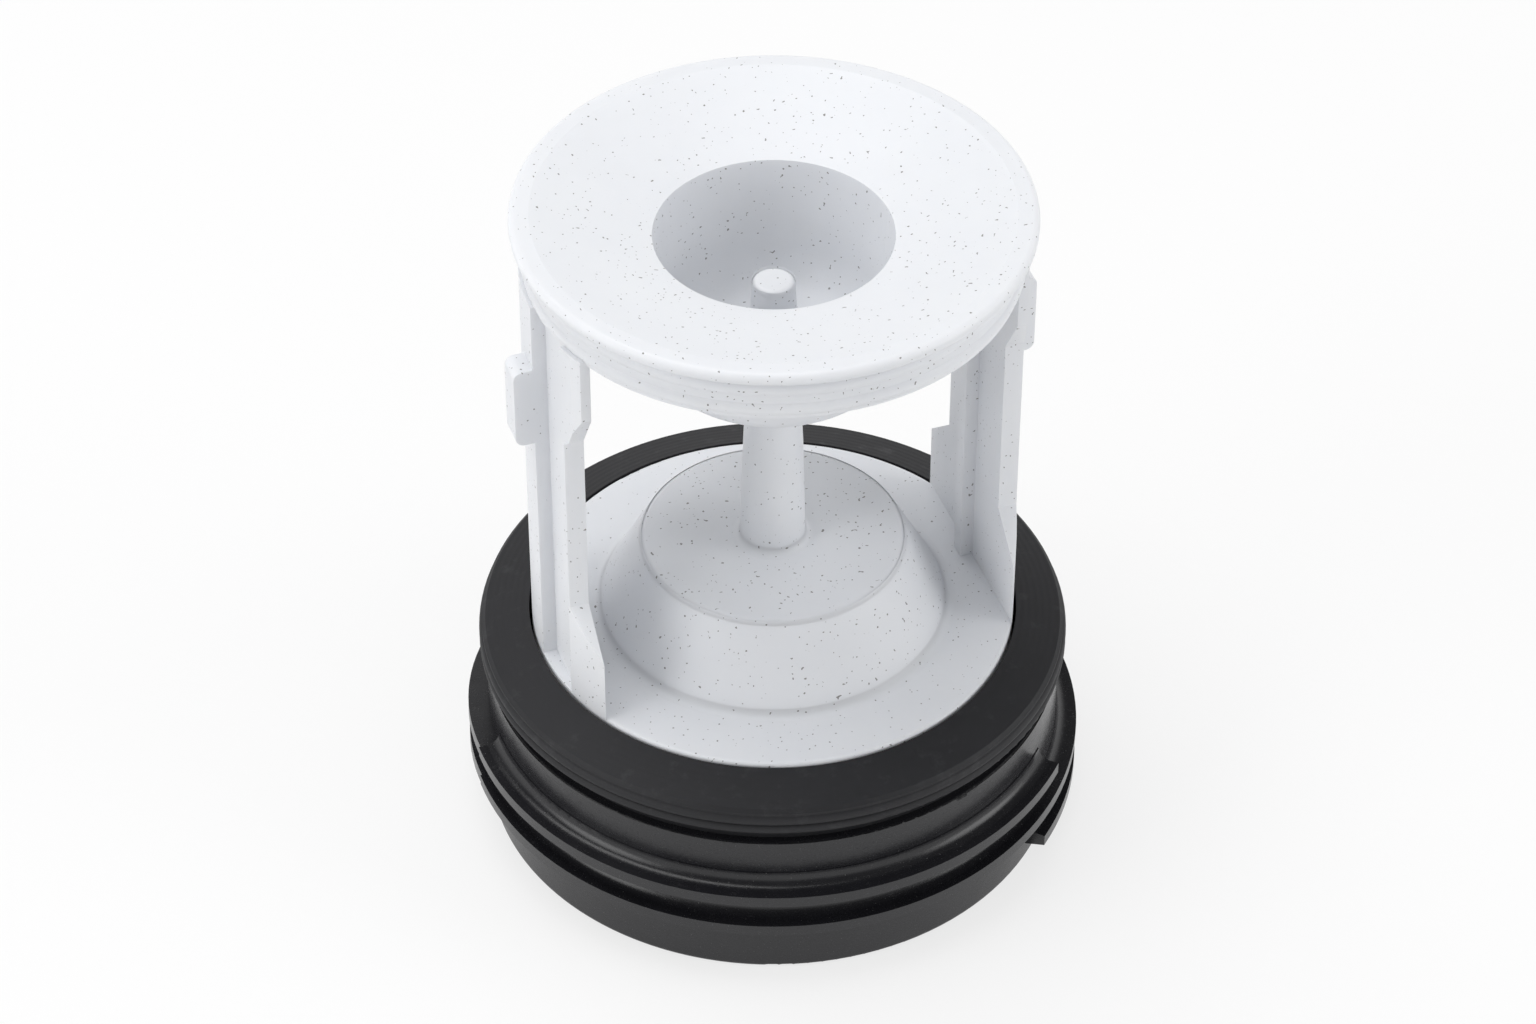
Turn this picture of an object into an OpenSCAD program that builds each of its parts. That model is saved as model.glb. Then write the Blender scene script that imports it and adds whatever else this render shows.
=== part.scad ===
// Drain pump filter: a screw cap with a lip seal, and a cage insert that turns on it.
// It stands on the rim of the cap. The origin is the middle of that rim, Z points up
// and the two legs of the insert lie on the X axis.

/* [Screw cap] */
// Diameter of the cap at its rim
cap_d = 58.3; // [56:0.1:61]
// How much narrower the cap is at its shoulder, for draft
cap_draft = 0.5; // [0.2:0.1:1.5]
// Height of the shoulder that carries the seal
cap_h = 16.9; // [16:0.1:21]
// Wall round the grip recess
cap_wall = 2.6; // [1.6:0.1:3.4]
// Depth of the grip recess
grip_depth = 11; // [7:0.5:11.5]
// Thickness of the deck above the grip recess
deck_t = 2.4; // [1.6:0.1:3]
// Width of the grip bar at its foot, level with the rim
bar_w = 8; // [5:0.5:12]
// Width of the grip bar where it meets the deck
bar_root_w = 10.5; // [6:0.5:14]
// How far the flat ends of the finger pockets stand in from the wall
pocket_end = 2.5; // [1:0.5:6]
// How far the rotation of the cap has stopped from the insert's legs
rest_turn = 19.5; // [0:0.5:90]

/* [Thread] */
// Outer diameter of the thread ridges
thread_d = 62.4; // [61.6:0.1:66]
// Distance from one ridge to the next
thread_pitch = 3.95; // [3.6:0.05:4.4]
// From the shoulder down to the top of the first ridge
thread_drop = 5.1; // [3.2:0.1:5.6]
// Thickness of a ridge at its edge
ridge_edge = 1.25; // [0.8:0.05:1.6]
// How much thicker a ridge is at its root
ridge_flank = 0.8; // [0.3:0.1:1.1]
// Fillet between a ridge and the wall above it
ridge_fillet = 1.3; // [0.6:0.1:1.5]

/* [Seal] */
// Diameter of the seal over its lip
seal_d = 59.3; // [59:0.1:61]
// Height of the seal above the shoulder, at its inner edge
seal_h = 6.05; // [5.6:0.05:6.6]
// How far the top face of the seal falls towards the lip
seal_fall = 1.25; // [0.6:0.05:1.8]
// Thickness of the flange over the collar
seal_flange_t = 1.85; // [1.4:0.05:2.2]
// Diameter of the seal's foot on the shoulder
seal_foot_d = 55.8; // [55:0.1:56.6]
// Height of the foot below the overhanging lip
seal_foot_h = 1.45; // [1:0.05:1.8]
// Clearance between the seal and what it is stretched over
seal_fit = 0.05; // [0.02:0.01:0.1]

/* [Swivel] */
// Outer diameter of the collar that carries the seal
collar_d = 52.4; // [51.6:0.1:53]
// Wall of that collar
collar_wall = 1.5; // [1:0.1:1.8]
// Outer diameter of the insert's hub
hub_d = 37.2; // [36.4:0.1:39]
// Wall of the hub
hub_wall = 1.5; // [1.2:0.1:2]
// Reach of the hub below the base disc
hub_h = 5.9; // [5:0.1:6.2]
// Radial clearance between the hub and its bearing ring
hub_clearance = 0.08; // [0.03:0.01:0.1]
// How far the snap bead stands out of the hub
bead_rise = 0.6; // [0.3:0.1:0.9]
// Height of the snap bead
bead_h = 1.3; // [0.8:0.1:1.8]
// Free space round the bead
bead_clearance = 0.35; // [0.2:0.05:0.5]
// Wall of the bearing ring
ring_wall = 2.2; // [1.8:0.1:2.6]
// Width of the four slots that let the hub flex
hub_slot_w = 2.5; // [1.5:0.1:4]
// Axial play between the base disc and the cap
axial_play = 0.1; // [0.05:0.05:0.3]
// Radial gap between the base disc and the seal
disc_clearance = 0.3; // [0.3:0.05:0.5]

/* [Insert base] */
// Diameter of the base disc
disc_d = 48.4; // [46.5:0.1:49]
// Thickness of the base disc
disc_t = 2; // [1.4:0.1:2.6]
// Rounding of the disc's upper edge
disc_edge = 0.4; // [0.2:0.1:0.8]
// Diameter of the cone boss where it leaves the disc
boss_base_d = 35.2; // [34.6:0.1:38]
// Diameter of the cone boss at its top
boss_top_d = 26.2; // [22:0.1:28]
// Height of the cone boss above the disc
boss_h = 8.55; // [6:0.05:11]
// Wall of the hollow cone boss
boss_wall = 1.8; // [1.4:0.1:2.2]
// Fillet round the foot of the boss
boss_fillet = 1.3; // [0.5:0.1:2]
// Rounding of the boss's upper edge
boss_edge = 0.8; // [0.3:0.1:1.5]

/* [Pin] */
// Diameter of the pin at its foot
pin_base_d = 6.6; // [5.5:0.1:8]
// Diameter of the pin part way up
pin_mid_d = 5.9; // [4.8:0.1:7]
// Diameter of the pin at its tip
pin_tip_d = 4.2; // [3:0.1:5.5]
// Height of the pin above the boss
pin_h = 32; // [28:0.5:34]
// Height above the boss at which the middle diameter is reached
pin_mid_h = 12; // [8:0.5:18]
// Fillet at the foot of the pin
pin_fillet = 0.8; // [0.4:0.1:1.4]
// Rounding of the pin's tip
pin_edge = 0.6; // [0.2:0.1:1.2]

/* [Top plate] */
// Diameter of the top plate over its rim
plate_d = 50; // [49.2:0.1:54]
// Height of the cage, from the base disc to the plate's rim
cage_h = 49.1; // [46:0.1:60]
// Thickness of the plate
plate_t = 1.8; // [1.3:0.1:2.2]
// Thickness of the plate's overhanging rim
rim_t = 1.4; // [1:0.1:1.8]
// Width of the level band along the rim
rim_w = 2; // [1:0.1:4]
// How far the plate dishes down to the cup
plate_dish = 3; // [1.5:0.1:4]
// How far the skirt stands back from the plate's rim
skirt_back = 1.05; // [0.6:0.05:1.6]
// Height of the skirt below the rim
skirt_h = 4.5; // [3.5:0.1:6]
// Wall of the skirt
skirt_wall = 1.55; // [1.2:0.05:2]
// How far the two beads stand out of the skirt
skirt_bead = 0.28; // [0.1:0.02:0.4]

/* [Cup] */
// Diameter of the cup at its mouth
cup_mouth_d = 23; // [20:0.1:26]
// Diameter of the cup where its bottom starts to curve
cup_low_d = 22; // [18:0.1:25]
// Depth of the cup below its mouth
cup_depth = 13.8; // [10:0.1:14]
// Diameter of the hole in the bottom of the cup
cup_hole_d = 13; // [11.4:0.1:15]
// Wall of the cup
cup_wall = 1.6; // [1.2:0.1:2]
// Thickness of the cup's bottom
cup_floor = 1.1; // [0.9:0.1:2]
// Radius of the curve inside the cup's bottom
cup_curve = 4.5; // [2:0.1:5]
// Radius of the curve outside the cup's bottom
cup_outer_curve = 3; // [1.5:0.1:4]
// Rounding of the mouth of the cup
mouth_edge = 1.2; // [0.4:0.1:2]

/* [Legs] */
// Width of a leg
leg_w = 13.6; // [10:0.1:16]
// Depth of a leg, from the edge of the disc inwards
leg_depth = 2.9; // [2.4:0.1:3.4]
// Thickness of the thin side of a leg
leg_thin = 1.5; // [1.1:0.1:2]
// Where the thin side starts, measured across the leg from its middle
thin_start = 0.3; // [-1:0.1:1]
// Width of the rib inside a leg
rib_w = 1.7; // [1.2:0.1:2.4]
// How far the rib stands inwards
rib_rise = 1.3; // [0.6:0.1:1.8]
// How far the rib lies off the middle of the leg
rib_offset = 0.35; // [0:0.05:1]
// Height of the upright ends of the foot gussets
foot_end_h = 6.2; // [3:0.1:9]
// Height over which the foot gussets slope in to the leg
foot_slope_h = 5.1; // [3:0.1:9]
// Half width of the head gussets
head_half_w = 9.5; // [8.2:0.1:10]
// Height of the upright ends of the head gussets below the skirt
head_end_h = 6.8; // [3:0.1:9]
// Height over which the head gussets slope in to the leg
head_slope_h = 4.5; // [2:0.1:7]
// Width of the guide lug
lug_w = 2.9; // [2:0.1:5]
// How far the guide lug stands out of the leg
lug_rise = 1.9; // [1:0.1:2.4]
// Height of the guide lug
lug_h = 8.9; // [6:0.1:12]
// Underside of the guide lug, above the base disc
lug_z = 27.2; // [20:0.1:30]
// Rounding of the guide lug's outer corners
lug_round = 0.9; // [0.3:0.1:1]

/* [Hidden] */
$fn = 120;

plastic_black = [0.055, 0.055, 0.065];
rubber_black = [0.07, 0.07, 0.08];
plastic_white = [0.90, 0.91, 0.93];

// overlap that joins solids of one moulding
weld = 0.4;
// overshoot of a cut past the face it leaves
past = 1;

cap_r = cap_d / 2;
shoulder_r = (cap_d - cap_draft) / 2;
deck_top = grip_depth + deck_t;
thread_r = thread_d / 2;
first_top = cap_h - thread_drop;

collar_r = collar_d / 2;
collar_top = cap_h + seal_h - seal_flange_t - seal_fit;
disc_bottom = collar_top + axial_play;
disc_top = disc_bottom + disc_t;
disc_r = disc_d / 2;
hub_r = hub_d / 2;
hub_bottom = disc_bottom - hub_h;
ring_bore_r = hub_r + hub_clearance;
ring_r = ring_bore_r + ring_wall;
bead_top = hub_bottom + bead_h;

boss_base_r = boss_base_d / 2;
boss_top_r = boss_top_d / 2;
boss_top = disc_top + boss_h;
boss_angle = atan2(boss_h, boss_base_r - boss_top_r);
pin_top = boss_top + pin_h;

plate_r = plate_d / 2;
plate_top = disc_top + cage_h;
skirt_r = plate_r - skirt_back;
skirt_bottom = plate_top - rim_t - skirt_h;
cup_mouth_z = plate_top - plate_dish;
cup_mouth_r = cup_mouth_d / 2;
cup_low_r = cup_low_d / 2;
cup_bottom = cup_mouth_z - cup_depth;
dish_r = plate_r - rim_w;
dish_angle = atan2(plate_dish, dish_r - cup_mouth_r);

leg_in = disc_r - leg_depth;
foot_half_w = sqrt(disc_r * disc_r - leg_in * leg_in);
leg_top = plate_top - 0.75 * plate_t;

// The piece between a corner at p and an arc of radius r that touches both edges
// leaving p at the angles a and b. Added it is a fillet, cut away it is a rounding.
module corner(p, a, b, r) {
    half = (b - a) / 2;
    run = r / tan(half);
    c = p + r / sin(half) * [cos(a + half), sin(a + half)];
    difference() {
        polygon([p, p + run * [cos(a), sin(a)], c, p + run * [cos(b), sin(b)]]);
        translate(c) circle(r);
    }
}

// Section of a thread ridge that reaches out to r, with its level top face at z = 0
module ridge_section(r) {
    wall = shoulder_r;
    polygon([
        [wall - 2 * weld, 0], [r, 0], [r, -ridge_edge],
        [wall, -ridge_edge - ridge_flank], [wall - 2 * weld, -ridge_edge - ridge_flank]
    ]);
}

// One stretch of ridge between two angles, with its top face at height z
module ridge(z, from, to) {
    wall = shoulder_r;
    translate([0, 0, z]) rotate([0, 0, from]) rotate_extrude(angle = to - from) {
        ridge_section(thread_r);
        translate([wall - weld, -weld]) square([weld + 0.15, weld + ridge_fillet]);
        corner([wall + 0.15, 0], 0, 90, ridge_fillet);
    }
}

// The short slope between two levels: the same ridge, tipped about its own middle
module ridge_step(z, from, to) {
    chord = 2 * thread_r * sin((to - from) / 2);
    middle = (from + to) / 2;
    translate([0, 0, z]) rotate([0, 0, middle]) rotate([asin(thread_pitch / chord), 0, 0])
        rotate([0, 0, (from - to) / 2]) rotate_extrude(angle = to - from)
            ridge_section(thread_r - 0.12);
}

// Two turns of ridge that run level round the front and step down at the side
module thread() {
    step_from = 138;
    step_to = 200;
    lead_in = 337;
    lead_out = 332;
    join = 1;
    ridge(first_top, step_to - join, lead_in);
    ridge(first_top - thread_pitch, step_to - join, 360 + step_from + join);
    ridge(first_top - 2 * thread_pitch, lead_out, 360 + step_from + join);
    for (turn = [0, 1])
        ridge_step(first_top - (turn + 0.5) * thread_pitch, step_from, step_to);
}

// Two finger pockets with a bar between them
module grip_recess() {
    pocket_r = cap_r - cap_wall;
    difference() {
        translate([0, 0, -past]) cylinder(r = pocket_r, h = grip_depth + past);
        rotate([90, 0, 90]) translate([0, 0, -cap_r])
            linear_extrude(cap_d)
                polygon([
                    [-bar_w / 2, -2 * past], [bar_w / 2, -2 * past], [bar_w / 2, 0],
                    [bar_root_w / 2, grip_depth], [bar_root_w / 2, grip_depth + past],
                    [-bar_root_w / 2, grip_depth + past], [-bar_root_w / 2, grip_depth],
                    [-bar_w / 2, 0]
                ]);
        for (side = [0, 180]) rotate([0, 0, side])
            translate([pocket_r - pocket_end, -cap_r, -2 * past]) cube([cap_r, cap_d, cap_h]);
    }
}

// Outer wall, deck, seal collar and bearing ring of the cap, in section
module cap_outline() {
    polygon([[0, 0], [cap_r, 0], [shoulder_r, cap_h], [collar_r - collar_wall, cap_h],
             [collar_r - collar_wall, deck_top], [0, deck_top]]);
    translate([collar_r - collar_wall, deck_top - weld])
        square([collar_wall, collar_top - deck_top + weld]);
    difference() {
        translate([ring_bore_r, deck_top - weld]) square([ring_wall, collar_top - deck_top + weld]);
        translate([0, deck_top])
            square([hub_r + bead_rise + bead_clearance, bead_top + bead_clearance - deck_top]);
    }
}

module screw_cap() {
    color(plastic_black) rotate([0, 0, -rest_turn]) {
        difference() {
            rotate_extrude() difference() {
                cap_outline();
                corner([cap_r, 0], 90 + atan2(cap_draft / 2, cap_h), 180, 0.5);
                corner([shoulder_r, cap_h], 180, 270 + atan2(cap_draft / 2, cap_h), 0.4);
            }
            rotate([0, 0, rest_turn]) grip_recess();
        }
        thread();
    }
}

// Section of the seal: flange, double lip and foot
module seal_outline() {
    top = cap_h + seal_h;
    bore = disc_r + disc_clearance;
    lip_r = seal_d / 2;
    edge_r = lip_r - 0.7;
    lip_top = top - seal_fall;
    foot_r = seal_foot_d / 2;
    foot_top = cap_h + seal_foot_h;
    flange_bottom = top - seal_flange_t;
    difference() {
        polygon([
            [bore, top], [edge_r, lip_top], [lip_r - 0.35, lip_top - 0.35],
            [lip_r - 0.35, foot_top + 0.5], [lip_r - 0.9, foot_top + 0.2], [foot_r, foot_top],
            [foot_r, cap_h], [collar_r + seal_fit, cap_h],
            [collar_r + seal_fit, flange_bottom], [bore, flange_bottom]
        ]);
        corner([bore, top], -atan2(seal_fall, edge_r - bore), -90, 0.25);
    }
}

// One rounded bead round the lip
module seal_bead(r, z) {
    rotate_extrude() translate([seal_d / 2 - r - 0.05, z]) circle(r);
}

module seal_ring() {
    color(rubber_black) {
        rotate_extrude() seal_outline();
        seal_bead(0.65, cap_h + seal_h - seal_fall - 1.25);
        seal_bead(0.6, cap_h + seal_foot_h + 1);
    }
}

// Base disc with its hollow cone boss, the pin and the snap hub, in section
module base_outline() {
    inset = boss_wall / sin(boss_angle);
    hollow_r = hub_r - hub_wall;
    difference() {
        union() {
            translate([0, disc_bottom]) square([disc_r, disc_t]);
            polygon([[0, disc_top - weld], [boss_base_r, disc_top - weld],
                     [boss_base_r, disc_top], [boss_top_r, boss_top], [0, boss_top]]);
            corner([boss_base_r, disc_top], 0, 180 - boss_angle, boss_fillet);
        }
        corner([disc_r, disc_top], 180, 270, disc_edge);
        corner([boss_top_r, boss_top], 180, 360 - boss_angle, boss_edge);
        polygon([[0, disc_bottom - past], [hollow_r, disc_bottom - past], [hollow_r, disc_bottom],
                 [boss_base_r - inset, disc_top], [boss_top_r - inset, boss_top - boss_wall],
                 [0, boss_top - boss_wall]]);
    }
    polygon([
        [hollow_r, disc_bottom + weld], [hollow_r, hub_bottom], [hub_r - 0.2, hub_bottom],
        [hub_r + bead_rise, hub_bottom + bead_h / 2], [hub_r + bead_rise, bead_top - 0.2],
        [hub_r, bead_top], [hub_r, disc_bottom + weld]
    ]);
}

// The four slots in the wall of the hub
module hub_slots() {
    for (turn = [45:90:315]) rotate([0, 0, turn])
        translate([0, -hub_slot_w / 2, hub_bottom - past])
            cube([hub_r + bead_rise + past, hub_slot_w, hub_h + past - 0.6]);
}

module pin_outline() {
    base_r = pin_base_d / 2;
    mid_r = pin_mid_d / 2;
    tip_r = pin_tip_d / 2;
    difference() {
        polygon([[0, boss_top - weld], [base_r, boss_top - weld], [base_r, boss_top],
                 [mid_r, boss_top + pin_mid_h], [tip_r, pin_top], [0, pin_top]]);
        corner([tip_r, pin_top], 180, 270, pin_edge);
    }
    corner([base_r, boss_top], 0, 90, pin_fillet);
}

// Top plate with its rim and skirt, and the cup, in section
module plate_outline() {
    low = cup_bottom - cup_floor;
    curve_z = cup_bottom + cup_curve;
    outer_z = low + cup_outer_curve;
    outer_r = cup_low_r + cup_wall;
    difference() {
        union() {
            polygon([
                [0, cup_mouth_z], [cup_mouth_r, cup_mouth_z], [dish_r, plate_top],
                [plate_r - rim_t / 2, plate_top], [plate_r - rim_t / 2, plate_top - rim_t],
                [dish_r, plate_top - plate_t], [cup_mouth_r, cup_mouth_z - plate_t],
                [0, cup_mouth_z - plate_t]
            ]);
            translate([plate_r - rim_t / 2, plate_top - rim_t / 2]) circle(rim_t / 2);
            polygon([[0, cup_mouth_z - weld], [cup_mouth_r + cup_wall, cup_mouth_z - weld],
                     [outer_r, outer_z], [outer_r, low], [0, low]]);
        }
        corner([cup_mouth_r, cup_mouth_z], dish_angle, 270, mouth_edge);
        corner([outer_r, low], 90, 180, cup_outer_curve);
        polygon([[0, plate_top], [cup_mouth_r, cup_mouth_z + past], [cup_mouth_r, cup_mouth_z],
                 [cup_low_r, curve_z], [0, curve_z]]);
        translate([cup_low_r - cup_curve, curve_z]) circle(cup_curve);
        translate([0, cup_bottom]) square([cup_low_r - cup_curve, cup_curve + past]);
        square([cup_hole_d / 2, cup_mouth_z]);
    }
    skirt_outline();
}

// The skirt, a straight wall with two rounded beads
module skirt_outline() {
    bead_r = skirt_h / 4.6;
    top = plate_top - rim_t / 2;
    translate([skirt_r - skirt_wall, skirt_bottom])
        square([skirt_wall - skirt_bead, top - skirt_bottom]);
    for (z = [skirt_bottom + bead_r, skirt_bottom + 3.3 * bead_r])
        translate([skirt_r - bead_r, z]) circle(bead_r);
}

// Side outline of a leg, with a wide foot and a wide head
module leg_side(half, foot, head) {
    foot_z = disc_top + foot_end_h;
    head_z = skirt_bottom - head_end_h;
    polygon([
        [0, disc_top - weld], [foot, disc_top - weld], [foot, foot_z],
        [half, foot_z + foot_slope_h], [half, head_z - head_slope_h], [head, head_z],
        [head, leg_top], [0, leg_top]
    ]);
}

// One leg on the +X side
module leg() {
    half = leg_w / 2;
    intersection() {
        union() {
            cylinder(r = disc_r, h = skirt_bottom + weld);
            cylinder(r = skirt_r - skirt_wall / 2, h = plate_top);
        }
        difference() {
            translate([leg_in, 0, 0]) rotate([90, 0, 90]) linear_extrude(leg_depth + past) {
                leg_side(half, foot_half_w + past, head_half_w);
                mirror([1, 0]) leg_side(half, foot_half_w + past, head_half_w);
            }
            leg_recess(half);
        }
    }
    translate([leg_in - rib_rise, rib_offset - rib_w / 2, disc_top - weld])
        cube([rib_rise + weld, rib_w, leg_top - disc_top + weld]);
    guide_lug();
}

// The thin side of the leg is set back from its outer face, between the foot gusset
// and the thick side, and all the way across at the head
module leg_recess(half) {
    back = leg_in + leg_thin;
    depth = leg_depth;
    head_z = skirt_bottom - head_end_h - head_slope_h;
    translate([back, thin_start, disc_top])
        cube([depth, half - thin_start - 0.2, plate_top - disc_top]);
    translate([back, thin_start, head_z])
        cube([depth, head_half_w + past, skirt_bottom - head_z]);
}

// The lug that guides the insert into its housing
module guide_lug() {
    out = disc_r + lug_rise;
    low = disc_top + lug_z;
    high = low + lug_h;
    translate([0, thin_start, 0]) rotate([90, 0, 0]) linear_extrude(lug_w)
        difference() {
            translate([leg_in + leg_thin, low]) square([out - leg_in - leg_thin, lug_h]);
            corner([out, low], 90, 180, lug_round);
            corner([out, high], 180, 270, lug_round);
        }
}

module filter_insert() {
    color(plastic_white) {
        difference() {
            rotate_extrude() base_outline();
            hub_slots();
        }
        rotate_extrude() pin_outline();
        rotate_extrude() plate_outline();
        for (side = [0, 180]) rotate([0, 0, side]) leg();
    }
}

screw_cap();
seal_ring();
filter_insert();
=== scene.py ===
# %% [markdown]
# # A drain pump filter
# The part catches lint and small objects in front of a washing machine's pump. It has three
# pieces: a black screw cap, a black rubber lip seal and a white cage that turns in the cap.
# The solid shapes come from the exact model, so this lesson adds finishes, light and a camera.

import math

import bpy
from mathutils import Matrix, Vector

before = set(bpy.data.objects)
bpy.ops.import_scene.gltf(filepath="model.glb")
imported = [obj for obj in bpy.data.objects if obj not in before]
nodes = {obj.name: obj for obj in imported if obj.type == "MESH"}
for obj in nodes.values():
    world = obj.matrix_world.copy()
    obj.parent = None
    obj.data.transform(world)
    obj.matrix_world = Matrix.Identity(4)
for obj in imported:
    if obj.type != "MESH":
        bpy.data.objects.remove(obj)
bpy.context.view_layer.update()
print("pieces:", sorted(nodes))

# %% [markdown]
# ## A small language for shader maths
# Blender's shaders are graphs of nodes. Adding every node by hand hides the idea behind the
# wiring, so one small class wraps a socket and lets plain Python expressions add the nodes.

# %% Wrap a socket
class Wire:
    """A value in a material's node tree. Arithmetic on it adds Math nodes."""

    def __init__(self, tree, socket):
        self.tree = tree
        self.socket = socket

    def node(self, kind, settings=None, out=0, **values):
        """Adds a node of a kind, sets it up, then fills its sockets. Spaces in socket names are _."""
        made = self.tree.nodes.new("ShaderNode" + kind)
        for name, setting in (settings or {}).items():
            setattr(made, name, setting)
        for name, value in values.items():
            key = int(name[1:]) if name[1:].isdigit() else name.replace("_", " ")
            fill(self.tree, made.inputs[key], value)
        return Wire(self.tree, made.outputs[out])

    def maths(self, operation, *values):
        named = {f"i{n}": value for n, value in enumerate(values)}
        return self.node("Math", {"operation": operation}, **named)

    def __add__(self, other):
        return self.maths("ADD", self, other)

    def __radd__(self, other):
        return self.maths("ADD", other, self)

    def __sub__(self, other):
        return self.maths("SUBTRACT", self, other)

    def __rsub__(self, other):
        return self.maths("SUBTRACT", other, self)

    def __mul__(self, other):
        return self.maths("MULTIPLY", self, other)

    def __pow__(self, other):
        return self.maths("POWER", self, other)

    def between(self, low, high):
        """0 at low, 1 at high and a soft step in between."""
        ramp = {"interpolation_type": "SMOOTHSTEP", "clamp": True}
        return self.node("MapRange", ramp, Value=self, From_Min=low, From_Max=high)


def fill(tree, socket, value):
    """Links a wire to a socket, or writes a plain value there."""
    if isinstance(value, Wire):
        tree.links.new(value.socket, socket)
    elif isinstance(value, (tuple, list)) and len(value) == 3 and socket.type == "RGBA":
        socket.default_value = (*value, 1)
    else:
        socket.default_value = value


print("operators:", [name for name in vars(Wire) if name.startswith("__")][2:])

# %% [markdown]
# ## Starting a material
# Each finish starts from one Principled shader. Values that are the same all over are set on
# the shader itself. Only colour, roughness and the bump vary over the surface.

# %% Start a material
def start_material(name, **fixed):
    """A new material with one Principled shader, and a wire that holds the place in mm."""
    made = bpy.data.materials.new(name)
    made.use_nodes = True
    shader = made.node_tree.nodes["Principled BSDF"]
    for key, value in fixed.items():
        shader.inputs[key.replace("_", " ")].default_value = value
    here = Wire(made.node_tree, None).node("TexCoord", out="Object")
    place = here.node("VectorMath", {"operation": "SCALE"}, i0=here, Scale=1000.0)
    return made, shader, place


def noise(place, scale, detail=3.0, rough=0.5):
    """Soft noise from 0 to 1. Scale is in waves per mm."""
    return place.node("TexNoise", Vector=place, Scale=scale, Detail=detail, Roughness=rough)


def blend(mask, low, high):
    """A colour that goes from low to high as the mask goes from 0 to 1."""
    mix = {"data_type": "RGBA"}
    return mask.node("Mix", mix, 2, i0=mask, i6=low, i7=high)


def axes(place):
    """The x, y and z of a place or a direction."""
    split = place.node("SeparateXYZ", Vector=place).socket.node
    return [Wire(place.tree, split.outputs[n]) for n in range(3)]


def finish_material(made, shader, colour, roughness, height, distance):
    """Links colour, roughness and a bump whose height is in mm."""
    tree = made.node_tree
    bump = height.node("Bump", Height=height, Distance=distance / 1000, Strength=1.0)
    fill(tree, shader.inputs["Base Color"], colour)
    fill(tree, shader.inputs["Roughness"], roughness)
    fill(tree, shader.inputs["Normal"], bump)


print("scene units are metres, material units are mm")

# %% [markdown]
# ## The cap's black plastic
# The cap is moulded in glossy black plastic. Its walls mirror the pale table softly, and the
# mould leaves a slight waviness. Handling adds faint scuffs and a few grey specks of dust.

# %% Black moulded plastic
def black_plastic():
    made, shader, place = start_material("black_plastic", IOR=1.5, Specular_IOR_Level=0.5)
    waves = noise(place, 0.35, 2.0)
    grain = noise(place, 9.0, 4.0, 0.6)
    stretched = place.node("VectorMath", {"operation": "MULTIPLY"}, i0=place, i1=(1, 1, 7))
    scuffs = noise(stretched, 1.3, 5.0, 0.7).between(0.56, 0.75)
    specks = noise(place, 5.5, 1.0).between(0.735, 0.77)
    colour = blend(waves, (0.0085, 0.0085, 0.0105), (0.013, 0.013, 0.0155))
    colour = blend(scuffs * 0.5, colour, (0.022, 0.022, 0.025))
    colour = blend(specks * 0.6, colour, (0.12, 0.12, 0.12))
    rough = 0.22 + waves * 0.08 + scuffs * 0.2 + specks * 0.3
    height = waves * 0.5 + grain * 0.1 + scuffs * 0.06
    finish_material(made, shader, colour, rough, height, 0.05)
    return made


# %% [markdown]
# ## The seal's rubber
# Moulded rubber is matt and a little uneven. Fine rings from the mould run round the band, and
# fingers leave paler smudges, so the roughness carries most of the look.

# %% Black rubber
def black_rubber():
    made, shader, place = start_material("black_rubber", IOR=1.5, Specular_IOR_Level=0.35)
    x, y, z = axes(place)
    radius = (x * x + y * y) ** 0.5
    rings = radius.maths("SINE", radius * 9.0)
    cloud = noise(place, 0.16, 4.0, 0.6)
    smudge = noise(place, 0.45, 5.0, 0.65).between(0.55, 0.72)
    pores = noise(place, 14.0, 2.0)
    colour = blend(cloud, (0.0105, 0.0105, 0.0125), (0.0165, 0.0165, 0.019))
    colour = blend(smudge * 0.45, colour, (0.03, 0.03, 0.033))
    rough = 0.52 + cloud * 0.12 - smudge * 0.08
    height = pores * 0.3 + rings * 0.12 + cloud * 0.3
    finish_material(made, shader, colour, rough, height, 0.04)
    return made


# %% [markdown]
# ## The cage's milky plastic
# The cage is unpainted white plastic. It is slightly see-through, so light creeps under its
# surface and softens every edge. Weak subsurface scattering gives that at little cost.

# %% Milky white plastic
def milky_plastic():
    made, shader, place = start_material(
        "milky_plastic", IOR=1.49, Specular_IOR_Level=0.5,
        Subsurface_Weight=0.25, Subsurface_Scale=0.0025, Subsurface_Radius=(1.0, 0.95, 0.9))
    cloud = noise(place, 0.09, 3.0)
    flow = noise(place, 0.6, 4.0, 0.6)
    grain = noise(place, 7.0, 4.0, 0.6)
    specks = noise(place, 3.2, 0.0).between(0.79, 0.81)
    colour = blend(cloud, (0.70, 0.715, 0.75), (0.75, 0.765, 0.79))
    colour = blend(flow * 0.3, colour, (0.79, 0.80, 0.82))
    colour = blend(specks * 0.8, colour, (0.12, 0.11, 0.10))
    rough = 0.33 + flow * 0.14 + grain * 0.06
    height = cloud * 0.4 + flow * 0.25 + grain * 0.08
    finish_material(made, shader, colour, rough, height, 0.06)
    return made


# %% Dress the pieces
finishes = {
    "screw_cap": (black_plastic(), "cap_plastic"),
    "seal_ring": (black_rubber(), "seal_rubber"),
    "filter_insert": (milky_plastic(), "insert_plastic"),
}
for name, (finish, record_slot) in finishes.items():
    piece = nodes[name]
    piece.data.materials.clear()
    piece.data.materials.append(finish)
    print(name, "wears", finish.name, "on", len(piece.data.polygons), "faces")

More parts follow.
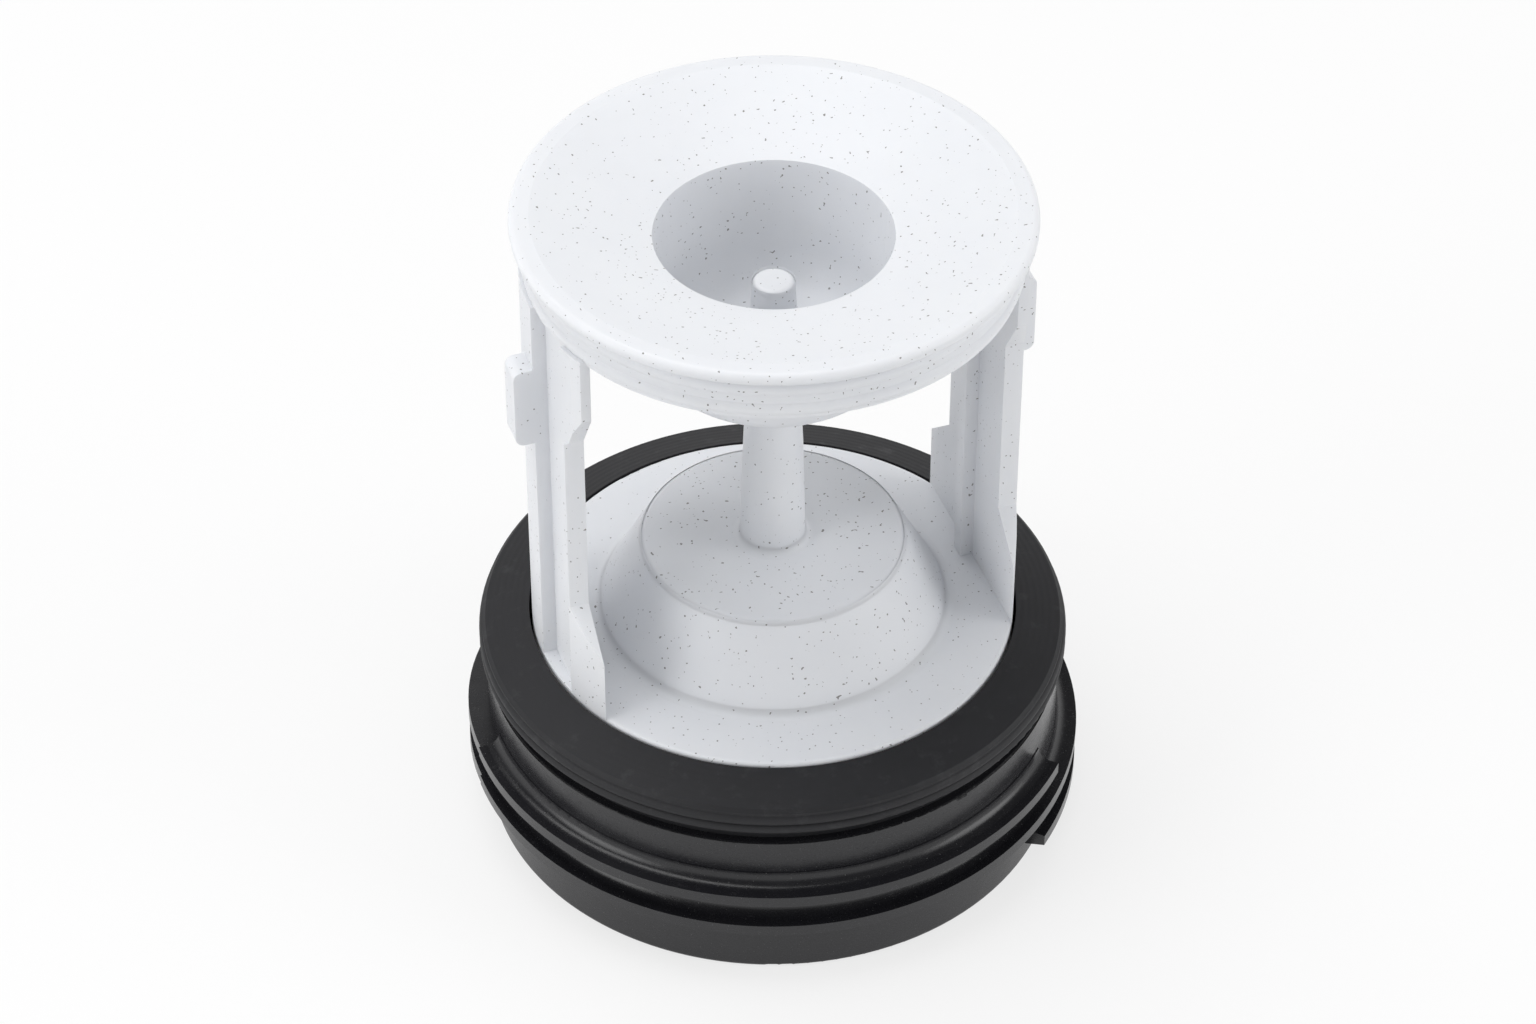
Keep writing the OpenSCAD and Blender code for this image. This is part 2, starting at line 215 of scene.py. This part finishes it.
# %% [markdown]
# ## A pale table
# The part stands on a white sheet. The camera sees a nearly white floor that still takes a
# soft shadow, because most of it glows by itself and the rest is lit by the lamps.

# %% Rays that see the background
def background_rays(start):
    """1 for rays of the camera, of gloss and of glass, and 0 for all others."""
    path = start.node("LightPath").socket.node
    seen = Wire(start.tree, path.outputs["Is Camera Ray"])
    for ray in ("Is Glossy Ray", "Is Transmission Ray"):
        seen = seen.maths("MAXIMUM", seen, Wire(start.tree, path.outputs[ray]))
    return seen


print("background rays: camera, glossy and transmission")

# %% White floor
FLOOR_RADIUS = 3.0
FLOOR_DROP = 0.0001
FLOOR_GLOW = 0.72


def white_floor():
    made = bpy.data.materials.new("white_floor")
    made.use_nodes = True
    tree = made.node_tree
    tree.nodes.clear()
    start = Wire(tree, None)
    seen = background_rays(start)
    lit = start.node("BsdfDiffuse", Color=(0.82, 0.82, 0.82))
    glow = start.node("Emission", Color=(1, 1, 1), Strength=1.0)
    both = start.node("MixShader", Fac=seen * FLOOR_GLOW, i1=lit, i2=glow)
    end = tree.nodes.new("ShaderNodeOutputMaterial")
    tree.links.new(both.socket, end.inputs["Surface"])
    return made


bpy.ops.mesh.primitive_circle_add(
    vertices=64, radius=FLOOR_RADIUS, fill_type="NGON", location=(0, 0, -FLOOR_DROP))
floor = bpy.context.object
floor.name = "floor"
floor.data.materials.append(white_floor())
print("floor radius:", FLOOR_RADIUS, "m")

# %% [markdown]
# ## Light
# A photo studio is bright near the table and dim above. The world is white near the horizon
# and grey overhead, and large soft lamps light the part from above and from both sides.

# %% World
OVERHEAD = 0.12
FILL = 0.55


def studio_world():
    """White at the horizon and dim overhead, with an even fill for the diffuse light."""
    world = bpy.data.worlds.new("studio")
    bpy.context.scene.world = world
    world.use_nodes = True
    tree = world.node_tree
    tree.nodes.clear()
    start = Wire(tree, None)
    aim = start.node("TexCoord", out="Generated")
    up = axes(aim)[2]
    shade = up.between(0.62, 0.3)
    seen = background_rays(start)
    strength = seen * (OVERHEAD + shade * (1 - OVERHEAD)) + (1 - seen) * FILL
    glow = start.node("Background", Color=(1, 1, 1), Strength=strength)
    end = tree.nodes.new("ShaderNodeOutputWorld")
    tree.links.new(glow.socket, end.inputs["Surface"])


studio_world()
print("world fill:", FILL)

# %% Soft lamps
AIM = Vector((0, 0, 0.035))


def soft_lamp(name, place, size, watts):
    """A round lamp that faces the middle of the part."""
    lamp = bpy.data.lights.new(name, "AREA")
    lamp.shape = "DISK"
    lamp.size = size
    lamp.energy = watts
    holder = bpy.data.objects.new(name, lamp)
    bpy.context.scene.collection.objects.link(holder)
    holder.location = place
    holder.rotation_euler = (AIM - Vector(place)).to_track_quat("-Z", "Y").to_euler()
    print(name, "at", place, watts, "W")


soft_lamp("top_lamp", (-0.15, 0.2, 0.9), 0.7, 4.0)
soft_lamp("left_lamp", (-0.8, -0.1, 0.45), 0.6, 2.5)
soft_lamp("right_lamp", (0.75, -0.45, 0.4), 0.6, 2.5)

# %% [markdown]
# ## Camera
# The camera stands in front and looks down at about forty degrees through a long lens.

# %% Camera
LENS_MM = 110.33
PLACE = Vector((0, -0.3515645, 0.3406231))
turn = math.radians(-19.5)
pitch, yaw, roll = 0.7165225, -0.0013812, 0.0025138
ahead = Vector((math.sin(yaw) * math.cos(pitch), math.cos(yaw) * math.cos(pitch), -math.sin(pitch)))
side = Vector((math.cos(yaw), -math.sin(yaw), 0))
above = side.cross(ahead)
right = math.cos(roll) * side + math.sin(roll) * above
top = math.cos(roll) * above - math.sin(roll) * side
lens = bpy.data.cameras.new("camera")
lens.sensor_width = 36.0
lens.lens = LENS_MM
lens.clip_start, lens.clip_end = 0.01, 20
camera = bpy.data.objects.new("camera", lens)
bpy.context.scene.collection.objects.link(camera)
axes_of_view = Matrix((right, top, -ahead)).transposed().to_4x4()
camera.matrix_world = Matrix.Rotation(turn, 4, "Z") @ Matrix.Translation(PLACE) @ axes_of_view
bpy.context.scene.camera = camera
bpy.context.scene.view_settings.view_transform = "Standard"
print("camera at", [round(v, 4) for v in camera.matrix_world.translation])
